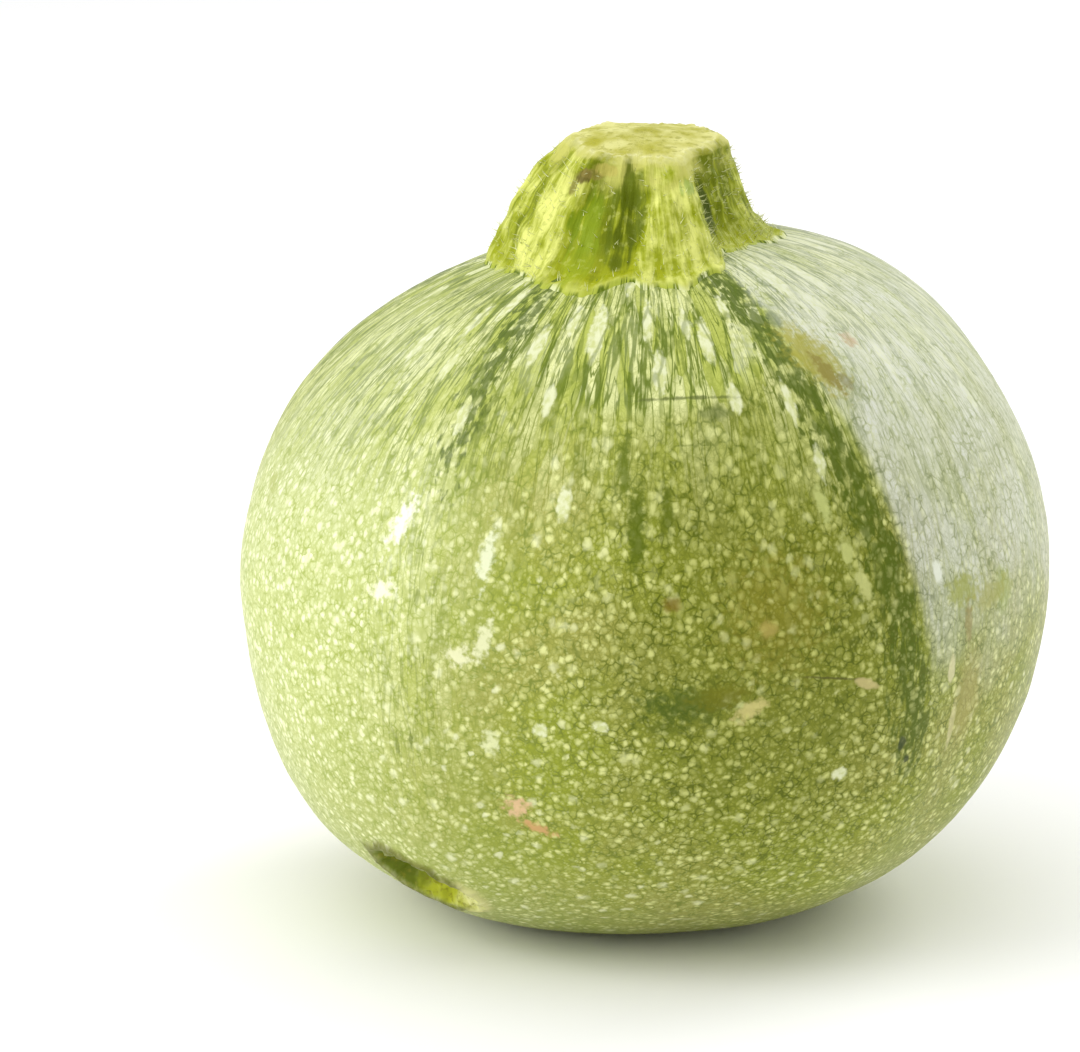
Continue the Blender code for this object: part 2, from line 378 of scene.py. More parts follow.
def paint(mesh, name, values):
    """Store one number or one vector a vertex, for the material to read."""
    kind, key = ("FLOAT", "value") if values.ndim == 1 else ("FLOAT_VECTOR", "vector")
    layer = mesh.attributes.new(name, kind, "POINT")
    layer.data.foreach_set(key, values.astype(np.float32).ravel())


def painted(mesh, name):
    """The numbers that paint stored."""
    values = np.empty(len(mesh.vertices))
    mesh.attributes[name].data.foreach_get("value", values)
    return values


# ---- fruit

def fruit_surface(azimuth, latitude):
    """The skin's overall form."""
    rise = np.sin(latitude)
    climb = np.abs(rise)
    upper = rise >= 0.0
    fullness = np.where(upper, CROWN_FULLNESS, CROWN_FULLNESS + (BASE_FULLNESS - CROWN_FULLNESS) * climb)
    radius = BELLY_RADIUS * np.clip(np.cos(latitude), 0.0, None) ** fullness
    depth = np.where(upper, RIB_CROWN, RIB_BASE) * rise ** 2
    radius = radius * (1.0 + depth * np.cos(RIB_COUNT * (azimuth - RIB_AZIMUTH)))
    x = np.sin(azimuth) * radius + np.where(upper, 0.0, BASE_SHIFT * climb ** 2)
    y = -np.cos(azimuth) * radius * DEPTH_SCALE
    crown = BELLY_HEIGHT + CROWN_RISE * climb ** (1.0 + CROWN_POINT * climb)
    crown = crown + CROWN_LEAN * x * climb ** LEAN_POWER
    settle = SETTLE_DEPTH * np.clip(1.0 - (radius / SETTLE_RADIUS) ** 2, 0.0, None)
    base = BELLY_HEIGHT - BASE_DROP * climb ** (1.0 - BASE_FLATNESS * climb) - settle
    edge = (base + PATCH_EDGE) ** 2 / (4.0 * PATCH_EDGE)
    base = np.where(base < PATCH_EDGE, edge, base)
    base = np.where(base < -PATCH_EDGE, 0.0, base)
    z = np.where(upper, crown, base)
    return np.stack([x, y, z], axis=1)


def rib_offset(azimuth):
    """Angle from the nearest rib, towards +X positive."""
    step = TURN / RIB_COUNT
    return (azimuth - RIB_AZIMUTH + step / 2.0) % step - step / 2.0


def gouge_axes():
    """Centre of the gouge, and its long, outward and short directions."""
    outward = Vector((math.sin(GOUGE_AZIMUTH), -math.cos(GOUGE_AZIMUTH), -0.95)).normalized()
    across = Vector((math.cos(GOUGE_AZIMUTH), math.sin(GOUGE_AZIMUTH), 0.0))
    along = Matrix.Rotation(-GOUGE_ROLL, 3, outward) @ across
    centre = Vector((math.sin(GOUGE_AZIMUTH), -math.cos(GOUGE_AZIMUTH), 0.0)) * GOUGE_RADIUS
    centre.z = GOUGE_HEIGHT
    return centre, along, outward, outward.cross(along)


def gouge_reach(points):
    """Distance from the gouge's centre against its ragged outline, which is at 1."""
    centre, along, outward, short = gouge_axes()
    offset = points - np.array(centre)
    u = offset @ np.array(along) / GOUGE_LENGTH
    v = offset @ np.array(short) / GOUGE_WIDTH
    w = offset @ np.array(outward) / (2.0 * GOUGE_LENGTH)
    reach = np.sqrt(u * u + v * v + w * w)
    near = reach < 2.0
    reach[near] += layered(points[near], GOUGE_RAGS)
    return reach


def refine_gouge(bm):
    """Split the faces round the gouge, so that its torn rim has points of its own."""
    azimuth, latitude = ball_angles(bm)
    points = fruit_surface(azimuth, latitude)
    near = gouge_reach(points) < 1.6
    edges = [edge for edge in bm.edges if all(near[vert.index] for vert in edge.verts)]
    bmesh.ops.subdivide_edges(bm, edges=edges, cuts=2, use_grid_fill=True)
    bm.verts.index_update()


def dent_fruit(points, azimuth, rise):
    """Height of the skin's small forms over its overall form."""
    height = layered(points, SKIN_LUMPS)
    waist = soft(rise, -0.95, -0.5) * soft(rise, 0.99, 0.7)
    height += RIB_CREST * bump(rib_offset(azimuth), 0.0, RIB_CREST_WIDTH) * waist
    height -= RIB_FURROW * bump(rib_offset(azimuth), RIB_FURROW_OFFSET, RIB_FURROW_WIDTH) * waist
    return height * soft(points[:, 2], 0.0, 3.0 * MM)


def carve_gouge(reach):
    """Height of the gouge's floor and its lifted rim."""
    floor = -GOUGE_DEPTH * soft(reach, 1.02, 0.55)
    rim = 0.35 * MM * bump(reach, 1.1, 0.1)
    return floor + rim


def make_fruit():
    bm = unit_ball(*FRUIT_FACES)
    refine_gouge(bm)
    azimuth, latitude = ball_angles(bm)
    rise = np.sin(latitude)
    points = fruit_surface(azimuth, latitude)
    fruit = mesh_object("fruit_skin", bm, points)
    mesh = fruit.data
    reach = gouge_reach(points)
    height = dent_fruit(points, azimuth, rise) + carve_gouge(reach)
    radius = np.hypot(points[:, 0], points[:, 1])
    moved = points + vertex_normals(mesh) * height[:, None]
    moved[:, 2] += SCAR_DEPTH * soft(radius, SCAR_RADIUS, SCAR_RADIUS * 0.8) * (rise < 0.0)
    set_points(mesh, moved)
    paint_fruit(mesh, moved, azimuth, rise, reach)
    return fruit


def around(azimuth, radius, height):
    """Points on a cylinder or a stack of rings."""
    return np.stack([np.sin(azimuth) * radius, -np.cos(azimuth) * radius, height], axis=1)


def meridian_length(rise, squeeze=0.0):
    """Distance along the skin from the belly, above it positive, shortened towards the crown."""
    latitude = np.linspace(-math.pi / 2.0, math.pi / 2.0, 721)
    line = fruit_surface(np.zeros_like(latitude), latitude)
    steps = np.linalg.norm(np.diff(line, axis=0), axis=1)
    steps = steps * (1.0 - squeeze * soft(np.sin(latitude[1:]), -0.1, 0.9))
    length = np.concatenate([[0.0], np.cumsum(steps)])
    length -= length[len(length) // 2]
    return np.interp(np.arcsin(rise), latitude, length)


def paint_threads(mesh, azimuth, length):
    """Coordinates in which one unit is the width of a fleck or a thread, and its length."""
    paint(mesh, "streak", around(azimuth, FLECKS_ROUND / TURN, length / FLECK_LENGTH))
    paint(mesh, "thread", around(azimuth, THREADS_ROUND / TURN, length / THREAD_LENGTH))


def stripe_middle(row, rise):
    """Azimuth in degrees of a stripe's middle at each rise."""
    crown, belly, base = row[:3]
    return np.interp(rise, (-0.7, 0.0, 0.45, 0.93), (base, belly, 0.6 * belly + 0.4 * crown, crown))


def stripe_strength(azimuth, points, rise):
    """How dark the stripes make the skin; each has a sharp border on its +X side."""
    total = np.zeros_like(azimuth)
    for row in STRIPES:
        strength, foot = row[3:]
        away = np.degrees(turned(azimuth - np.radians(stripe_middle(row, rise))))
        width = STRIPE_WIDTH * (1.0 + 0.9 * soft(rise, 0.78, 0.98))
        width = width * np.where(away > 0.0, 0.5, 1.05)
        fade = soft(points[:, 2], foot, foot + 16.0 * MM)
        total = np.maximum(total, strength * np.exp(-(away / width) ** 2) * fade)
    return total


def wax_and_painted_sheen_strength(degrees, points, rise):
    """Where the grey-white waxy coat lies: thick beyond the first stripe, with a painted sheen there, thin
    on the other upper flanks.
    """
    height = points[:, 2] + 7.0 * MM * lumps(points, 9.0 * MM, 31) + 3.0 * MM * lumps(points, 3.0 * MM, 32)
    # Beyond the first stripe: wax together with a painted sheen of reflected light.
    right = soft(degrees - stripe_middle(STRIPES[0], rise), 2.0, 4.6) * soft(degrees, 130.0, 108.0)
    right = right * soft(height, 30.0 * MM, 46.0 * MM) * (1.0 - 0.4 * soft(rise, 0.85, 0.97))
    left = 0.3 * bump(degrees, -62.0, 20.0) * soft(height, 34.0 * MM, 52.0 * MM) * soft(rise, 0.95, 0.8)
    back = 0.6 * bump(degrees, 152.0, 18.0) * soft(height, 42.0 * MM, 60.0 * MM)
    return np.maximum(np.maximum(right, left), back)


def fleck_field(points):
    """How deep each point lies within the nearest of LARGE_FLECKS: 1 in its middle, 0 at its edge."""
    field = np.full(len(points), -1.0)
    for azimuth, height, half_width, half_length in LARGE_FLECKS:
        point, side, up = (np.array(axis) for axis in skin_frame(azimuth, height * MM))
        offset = points - point
        across = offset @ side / (half_width * MM)
        along = offset @ up / (half_length * MM)
        deep = offset @ np.cross(side, up) / MARK_DEPTH
        field = np.maximum(field, 1.0 - np.sqrt(across ** 2 + along ** 2 + deep ** 2))
    return field


def paint_fruit(mesh, points, azimuth, rise, reach):
    """Coordinates and masks that the skin's material reads."""
    degrees = np.degrees(azimuth)
    length = meridian_length(rise)
    radius = np.hypot(points[:, 0], points[:, 1])
    crown = soft(rise, 0.35, 0.97)
    ring = np.sqrt(radius ** 2 + (0.40 * BELLY_RADIUS * crown) ** 2)
    paint(mesh, "grain", around(azimuth, ring, meridian_length(rise, CELL_SQUEEZE)))
    paint_threads(mesh, azimuth, length)
    front = bump(degrees, 2.0, 34.0)
    paint(mesh, "loose", 1.0 - 0.9 * bump(degrees, -8.0, 34.0))
    paint(mesh, "crown", soft(rise, 0.84 - 0.24 * front, 0.97 - 0.12 * front))
    flank = (1.0 - 0.6 * bump(degrees, 4.0, 28.0)) * soft(rise, 0.30, 0.75)
    flank = np.maximum(flank, 0.45 * bump(degrees, -34.0, 9.0) * soft(rise, -0.75, 0.0))
    paint(mesh, "flank", flank)
    paint(mesh, "chains", bump(degrees, 2.0, 32.0) * soft(rise, 0.0, 0.35) * 0.8)
    paint(mesh, "stripe", stripe_strength(azimuth, points, rise))
    paint(mesh, "wax_and_painted_sheen", wax_and_painted_sheen_strength(degrees, points, rise))
    # Tone and painted light in one field, above 0 darker and below 0 paler: darker over the front right of
    # the belly and round the far side.
    tone_and_painted_light = bump(degrees, 18.0, 24.0) * bump(points[:, 2], 40.0 * MM, 27.0 * MM)
    tone_and_painted_light += 0.5 * bump(np.degrees(turned(azimuth - math.radians(165.0))), 0.0, 30.0)
    # Paler on the left flank: partly the skin's own tone, partly painted light from the key side.
    tone_and_painted_light -= 0.9 * bump(degrees, -64.0, 36.0) * soft(points[:, 2], -10.0 * MM, 36.0 * MM)
    # Paler towards the base: painted light bounced up from the floor.
    tone_and_painted_light -= 0.3 * soft(points[:, 2], 24.0 * MM, 4.0 * MM)
    # A painted highlight high on the left flank.
    tone_and_painted_light -= 0.5 * bump(degrees, -41.0, 13.0) * bump(points[:, 2], 48.0 * MM, 10.0 * MM)
    paint(mesh, "tone_and_painted_light", tone_and_painted_light)
    paint(mesh, "large_fleck", fleck_field(points))
    paint(mesh, "scar", np.where(rise < 0.0, radius / SCAR_RADIUS, 9.0))
    paint(mesh, "flesh", soft(reach, 1.06, 0.92))
    paint(mesh, "torn", bump(reach, 1.12, 0.16))
    centre, along = (np.array(axis) for axis in gouge_axes()[:2])
    paint(mesh, "gouge_run", (points - centre) @ along / GOUGE_LENGTH)


# ---- stalk

def round_stalk(azimuth, column, unit=MM):
    """A column of FLUTES at each azimuth, eased from row to row round the closed ring."""
    rows = FLUTES + FLUTES[:1]
    degrees = np.array([row[0] for row in rows])
    degrees[-1] += 360.0
    values = np.array([row[column] for row in rows]) * unit
    angle = np.degrees(azimuth)
    angle = np.where(angle < degrees[0], angle + 360.0, angle)
    index = np.clip(np.searchsorted(degrees, angle, side="right") - 1, 0, len(degrees) - 2)
    share = soft((angle - degrees[index]) / (degrees[index + 1] - degrees[index]), 0.0, 1.0)
    return values[index] + (values[index + 1] - values[index]) * share


def foot_reach(azimuth):
    """How far the toothed foot reaches over the crown."""
    ring = around(azimuth, 17.0 * MM, np.zeros_like(azimuth))
    return round_stalk(azimuth, REACH) + FOOT_TEETH * layered(ring, TOOTH_LUMPS)


def stalk_radius(azimuth, climb):
    """Radius from the foot's edge (climb 0) to the cut edge (climb 1)."""
    reach = foot_reach(azimuth)
    girth = round_stalk(azimuth, GIRTH)
    ring = around(azimuth, 9.0 * MM, np.zeros_like(azimuth))
    cut = round_stalk(azimuth, CUT) + CUT_RAGGED * lumps(ring, 2.2 * MM, 23)
    neck = cut + (girth - cut) * (1.0 - climb ** NECK_POWER)
    return neck + (reach - neck) * (1.0 - climb) ** FLARE_POWER


def crown_tree(fruit):
    mesh = fruit.data
    return BVHTree.FromPolygons(
        [vert.co for vert in mesh.vertices],
        [face.vertices for face in mesh.polygons])


def drop_on(tree, x, y):
    """Heights at which plumb lines meet the skin."""
    down = Vector((0.0, 0.0, -1.0))
    start = STALK_TOP * 2.0
    return np.array([tree.ray_cast(Vector((a, b, start)), down)[0].z for a, b in zip(x, y)])


def stalk_surface(azimuth, place, tree):
    """Points from the middle of the underside (place 0) to the middle of the cut face (place 1)."""
    climb = np.clip((place - FOOT_PLACE) / (CUT_PLACE - FOOT_PLACE), 0.0, 1.0)
    reach = foot_reach(azimuth)
    under = np.clip(place / FOOT_PLACE, 0.0, 1.0)
    top = np.clip((1.0 - place) / (1.0 - CUT_PLACE), 0.0, 1.0)
    radius = np.where(place < FOOT_PLACE, reach * under, stalk_radius(azimuth, climb))
    face = (stalk_radius(azimuth, np.ones_like(climb)) - CUT_EDGE) * top
    radius = np.where(place > CUT_PLACE, face, radius)
    rim = drop_on(tree, np.sin(azimuth) * reach, -np.cos(azimuth) * reach) - LIP_SINK * FOOT_LIP
    x = np.sin(azimuth) * radius
    y = -np.cos(azimuth) * radius
    skin = drop_on(tree, x, y)
    z = rim + (CUT_HEIGHT - CUT_EDGE - rim) * climb ** FOOT_EASE
    lift = FOOT_LIP * (np.clip(climb / FOOT_EDGE, 0.0, 1.0) - LIP_SINK)
    z = np.where(place < FOOT_PLACE, skin - FOOT_SINK, np.maximum(z, skin + lift))
    z = np.where(place > CUT_PLACE, CUT_HEIGHT + CUT_DOME * (1.0 - top * top), z)
    z = z + CUT_TILT * np.clip(y, -20.0 * MM, 0.0) * soft(climb, 0.5, 1.0)
    return np.stack([x, y, z], axis=1)


def make_stalk(tree):
    bm = unit_ball(*STALK_FACES)
    azimuth, latitude = ball_angles(bm)
    place = latitude / math.pi + 0.5
    points = stalk_surface(azimuth, place, tree)
    stalk = mesh_object("stalk_skin", bm, points)
    mesh = stalk.data
    climb = np.clip((place - FOOT_PLACE) / (CUT_PLACE - FOOT_PLACE), 0.0, 1.0)
    flank = soft(place, 0.12, 0.2) * soft(place, 0.86, 0.78)
    fibre = np.stack([np.sin(azimuth) * 9.0, -np.cos(azimuth) * 9.0, climb * 1.6], axis=1)
    height = (layered(fibre, FIBRE_LUMPS) + layered(points, KNOB_LUMPS)) * flank
    moved = points + vertex_normals(mesh) * height[:, None]
    set_points(mesh, moved)
    paint(mesh, "fibre", fibre)
    paint(mesh, "pale", round_stalk(azimuth, PALE, 1.0))
    paint(mesh, "climb", climb)
    paint(mesh, "turn", np.degrees(azimuth))
    paint(mesh, "cut", soft(place, 0.79, 0.815))
    spread = np.clip(np.hypot(moved[:, 0], moved[:, 1]) / BELLY_RADIUS, 0.0, 1.0)
    rise = np.sqrt(1.0 - spread ** (2.0 / CROWN_FULLNESS))
    length = meridian_length(rise)
    paint_threads(mesh, azimuth, length)
    paint(mesh, "rim", bump(place, 0.812, 0.012))
    return stalk


def add_bristle(bm, root, lean, length, radius):
    """One stiff hair: a slim three-sided spike."""
    side = lean.orthogonal().normalized() * radius
    ring = []
    for corner in range(3):
        spoke = Matrix.Rotation(corner * TURN / 3.0, 3, lean) @ side
        ring.append(bm.verts.new(root + spoke))
    tip = bm.verts.new(root + lean * length)
    for start, end in zip(ring, ring[1:] + ring[:1]):
        bm.faces.new((start, end, tip))
    bm.faces.new(ring[::-1])


def make_bristles(stalk):
    """Short stiff hairs, thickest on the stalk's ridges; the faces' own order varies from run to run."""
    dice = random.Random(BRISTLE_SEED)
    mesh = stalk.data
    climb = painted(mesh, "climb")
    turn = painted(mesh, "turn")
    faces = sorted(mesh.polygons, key=lambda face: sorted(face.vertices))
    faces = [face for face in faces if 0.04 < climb[min(face.vertices)] < 0.97]
    thick = 0.5 + painted(mesh, "pale") + 2.5 * bump(turn, 82.0, 22.0) + 2.0 * bump(turn, 38.0, 6.0)
    weights = [face.area * thick[min(face.vertices)] for face in faces]
    bm = bmesh.new()
    for face in dice.choices(faces, weights=weights, k=BRISTLE_COUNT):
        spread = Vector((dice.gauss(0.0, 0.35), dice.gauss(0.0, 0.35), dice.gauss(0.15, 0.3)))
        lean = (face.normal + spread).normalized()
        length = dice.uniform(0.4, 1.3) * MM
        add_bristle(bm, face.center - face.normal * 0.05 * MM, lean, length, dice.uniform(0.04, 0.075) * MM)
    bmesh.ops.recalc_face_normals(bm, faces=bm.faces)
    hairs = bpy.data.meshes.new("stalk_bristles")
    bm.to_mesh(hairs)
    bm.free()
    return linked_object("stalk_bristles", hairs)


# ---- materials

class Graph:
    """Adds nodes to one tree and links them; an input is a socket, a number, a vector or a colour."""

    def __init__(self, tree):
        self.tree = tree

    def feed(self, socket, value):
        if isinstance(value, bpy.types.NodeSocket):
            self.tree.links.new(value, socket)
        else:
            socket.default_value = value

    def add(self, kind, inputs=None, **settings):
        node = self.tree.nodes.new("ShaderNode" + kind)
        for name, value in settings.items():
            setattr(node, name, value)
        for key, value in (inputs or {}).items():
            self.feed(node.inputs[key], value)
        return node

    def attribute(self, name, output="Fac"):
        return self.add("Attribute", attribute_name=name).outputs[output]

    def math(self, operation, first, second=0.0, third=0.0):
        node = self.add("Math", {0: first, 1: second, 2: third}, operation=operation)
        return node.outputs[0]

    def span(self, value, low, high, start=0.0, end=1.0):
        """Value from low..high eased into start..end."""
        settings = {"Value": value, "From Min": low, "From Max": high, "To Min": start, "To Max": end}
        node = self.add("MapRange", settings, interpolation_type="SMOOTHSTEP")
        return node.outputs["Result"]

    def times(self, first, *factors):
        for factor in factors:
            first = self.math("MULTIPLY", first, factor)
        return first

    def times_add(self, value, factor, start):
        return self.math("MULTIPLY_ADD", value, factor, start)

    def larger(self, first, second):
        return self.math("MAXIMUM", first, second)

    def shaken(self, value, rough, amount):
        """Value pushed up and down by noise about its middle."""
        return self.times_add(self.math("SUBTRACT", rough, 0.5), amount, value)

    def blend(self, share, first, second):
        """Two colours blended; a plain one is given as display values of 0 to 255."""
        node = self.add("Mix", data_type="RGBA", clamp_factor=True)
        self.feed(node.inputs[0], share)
        for key, value in ((6, first), (7, second)):
            self.feed(node.inputs[key], srgb(*value) if isinstance(value, tuple) else value)
        return node.outputs[2]

    def noise(self, vector, scale, detail=2.0, output="Fac"):
        node = self.add("TexNoise", {"Vector": vector, "Scale": scale, "Detail": detail})
        return node.outputs[output]

    def vector(self, operation, inputs):
        return self.add("VectorMath", inputs, operation=operation).outputs[0]

    def scaled(self, vector, factors):
        return self.vector("MULTIPLY", {0: vector, 1: factors})

    def wobble(self, vector, scale, amount):
        """A vector pushed about by noise."""
        push = self.noise(vector, scale, output="Color")
        push = self.vector("SUBTRACT", {0: push, 1: (0.5, 0.5, 0.5)})
        push = self.vector("SCALE", {0: push, "Scale": amount})
        return self.vector("ADD", {0: vector, 1: push})


ZERO = (0.0, 0.0, 0.0)


def new_group(name, inputs, outputs):
    """A shader node group with named sockets; returns its graph, its inputs and its output node."""
    tree = bpy.data.node_groups.new(name, "ShaderNodeTree")
    for socket, kind, value in inputs:
        made = tree.interface.new_socket(socket, in_out="INPUT", socket_type="NodeSocket" + kind)
        made.default_value = value
    for socket, kind in outputs:
        tree.interface.new_socket(socket, in_out="OUTPUT", socket_type="NodeSocket" + kind)
    graph = Graph(tree)
    start = tree.nodes.new("NodeGroupInput")
    end = tree.nodes.new("NodeGroupOutput")
    return graph, start.outputs, end.inputs


def use_group(graph, group, inputs):
    node = graph.add("Group", node_tree=group)
    for key, value in inputs.items():
        graph.feed(node.inputs[key], value)
    return node.outputs


def cell_group():
    """Rounded pale cells in a net: cell mask, a random value for each cell, and the net's lines."""
    graph, given, result = new_group(
        "cells",
        (("Vector", "Vector", ZERO), ("Scale", "Float", 1000.0),
         ("Size", "Float", 0.45), ("Ragged", "Float", 0.2)),
        (("Cell", "Float"), ("Random", "Float"), ("Line", "Float")))
    cell = {"Vector": given["Vector"], "Scale": given["Scale"]}
    middle = graph.add("TexVoronoi", cell, feature="F1")
    edge = graph.add("TexVoronoi", cell, feature="DISTANCE_TO_EDGE").outputs["Distance"]
    pick = graph.add("SeparateColor", {0: middle.outputs["Color"]})
    fine_scale = graph.times(given["Scale"], 2.2)
    rough = graph.math("SUBTRACT", graph.noise(given["Vector"], fine_scale, 2.0), 0.5)
    reach = graph.times_add(rough, given["Ragged"], middle.outputs["Distance"])
    size = graph.times_add(pick.outputs["Red"], 0.25, given["Size"])
    low = graph.times(size, 0.12)
    graph.feed(result["Cell"], graph.span(reach, size, low))
    graph.feed(result["Random"], pick.outputs["Green"])
    line = graph.times_add(rough, 0.15, edge)
    graph.feed(result["Line"], graph.span(line, 0.15, 0.03))
    return graph.tree


def pick_cells(graph, cells, vector, scale, size, ragged):
    return use_group(graph, cells, {"Vector": vector, "Scale": scale, "Size": size, "Ragged": ragged})


def fleck_group():
    """Long pale flecks side by side: the fleck, a random value for each, and the lines between them."""
    graph, given, result = new_group(
        "flecks",
        (("Vector", "Vector", ZERO), ("Wobble", "Float", 0.35), ("Line Width", "Float", 0.12)),
        (("Fleck", "Float"), ("Random", "Float"), ("Line", "Float")))
    place = graph.wobble(given["Vector"], 1.3, given["Wobble"])
    place = graph.wobble(place, 4.0, graph.times(given["Wobble"], 0.25))
    cell = {"Vector": place, "Scale": 1.0, "Randomness": 0.92}
    edge = graph.add("TexVoronoi", cell, feature="DISTANCE_TO_EDGE").outputs["Distance"]
    pick = graph.add("SeparateColor", {0: graph.add("TexVoronoi", cell, feature="F1").outputs["Color"]})
    wide = graph.times(given["Line Width"], 2.2)
    graph.feed(result["Fleck"], graph.span(edge, given["Line Width"], wide))
    graph.feed(result["Random"], pick.outputs["Red"])
    graph.feed(result["Line"], graph.span(edge, given["Line Width"], 0.02))
    return graph.tree


def mark_group():
    """One ragged patch: 1 inside an ellipsoid with the given centre, turn and half sizes."""
    graph, given, result = new_group(
        "mark",
        (("Vector", "Vector", ZERO), ("Centre", "Vector", ZERO),
         ("Turn", "Vector", ZERO), ("Half Size", "Vector", (MM, MM, MM)),
         ("Rough", "Float", 0.5), ("Ragged", "Float", 0.5), ("Soft", "Float", 0.3)),
        (("Mask", "Float"),))
    local = graph.add(
        "Mapping",
        {"Vector": given["Vector"], "Location": given["Centre"], "Rotation": given["Turn"],
         "Scale": given["Half Size"]},
        vector_type="TEXTURE")
    reach = graph.add("VectorMath", {0: local.outputs[0]}, operation="LENGTH").outputs["Value"]
    rough = graph.math("SUBTRACT", given["Rough"], 0.5)
    reach = graph.times_add(rough, given["Ragged"], reach)
    high = graph.math("ADD", given["Soft"], 1.0)
    low = graph.math("SUBTRACT", 1.0, given["Soft"])
    graph.feed(result["Mask"], graph.span(reach, high, low))
    return graph.tree


def new_material(name):
    material = bpy.data.materials.new(name)
    material.use_nodes = True
    graph = Graph(material.node_tree)
    return material, graph, material.node_tree.nodes["Principled BSDF"]


def skin_frame(azimuth, height):
    """The skin's point at an azimuth in degrees and a height, with its sideways and upward directions."""
    angle = math.radians(azimuth)
    latitude = np.linspace(-1.5, 1.5, 601)
    line = fruit_surface(np.full_like(latitude, angle), latitude)
    index = int(np.argmin(np.abs(line[:, 2] - height)))
    up = Vector(line[index + 1] - line[index - 1]).normalized()
    side = Vector((math.cos(angle), math.sin(angle), 0.0))
    side = (side - up * side.dot(up)).normalized()
    return Vector(line[index]), side, up


def add_mark(graph, mark, place, rough, color, row):
    """Lay one row of SKIN_MARKS over a colour."""
    azimuth, height, half_width, half_height, turn, ragged, softness, strength, tone = row
    point, side, up = skin_frame(azimuth, height * MM)
    frame = Matrix((side, up, side.cross(up))).transposed()
    frame = frame @ Matrix.Rotation(math.radians(turn), 3, "Z")
    given = {
        "Vector": place, "Centre": point, "Turn": Vector(frame.to_euler()),
        "Half Size": (half_width * MM, half_height * MM, MARK_DEPTH),
        "Rough": rough, "Ragged": ragged, "Soft": softness}
    mask = use_group(graph, mark, given)["Mask"]
    return graph.blend(graph.times(mask, strength), color, tone)


def green_net(graph, place, tone_and_painted_light, dark_stripe):
    """Colour of the green net between the cells, darker and paler with the tone and the painted light and
    shade.
    """
    patches = graph.noise(place, 90.0, 3.0)
    green = graph.blend(graph.span(patches, 0.35, 0.7), (146, 156, 46), (160, 160, 78))
    green = graph.blend(graph.span(tone_and_painted_light, 0.0, 1.0), green, (124, 130, 36))
    green = graph.blend(graph.span(tone_and_painted_light, 0.0, -0.9), green, (196, 204, 132))
    return graph.blend(graph.times(dark_stripe, 0.9), green, (74, 94, 0))


def add_veins(graph, down, scale):
    """Thin wavy lines that run mostly downwards."""
    level = graph.noise(graph.scaled(down, (1.0, 1.0, 0.55)), scale, 2.0)
    away = graph.math("ABSOLUTE", graph.math("SUBTRACT", level, 0.5))
    return graph.span(away, 0.038, 0.010)


def add_flecks(graph, flecks, color, grain, crown, open_skin):
    """Lay the crown's long whitish flecks and the dark lines between them over a colour."""
    streak = graph.attribute("streak", "Vector")
    long = use_group(graph, flecks, {"Vector": streak, **LONG_FLECKS})
    reach = graph.shaken(crown, graph.noise(streak, 0.9), 1.4)
    chosen = graph.times(
        graph.span(long["Random"], 0.52, 0.60), graph.attribute("loose"), graph.span(reach, 0.3, 0.6),
        graph.span(crown, 0.02, 0.2), graph.times_add(open_skin, 0.8, 0.2))
    mottle = graph.noise(grain, 1500.0, 4.0)
    fleck = graph.blend(graph.span(mottle, 0.35, 0.65), (200, 206, 140), (222, 226, 184))
    ragged = graph.shaken(long["Fleck"], mottle, 1.2)
    fleck_mask = graph.times(graph.span(ragged, 0.3, 0.8), chosen)
    torn = graph.shaken(graph.attribute("large_fleck"), mottle, 0.7)
    fleck_mask = graph.larger(fleck_mask, graph.span(torn, 0.0, 0.4))
    color = graph.blend(graph.times(fleck_mask, 0.94), color, fleck)
    outline = graph.times(long["Line"], graph.span(crown, 0.1, 0.6, 0.0, 0.5))
    return graph.blend(outline, color, (84, 104, 2)), outline


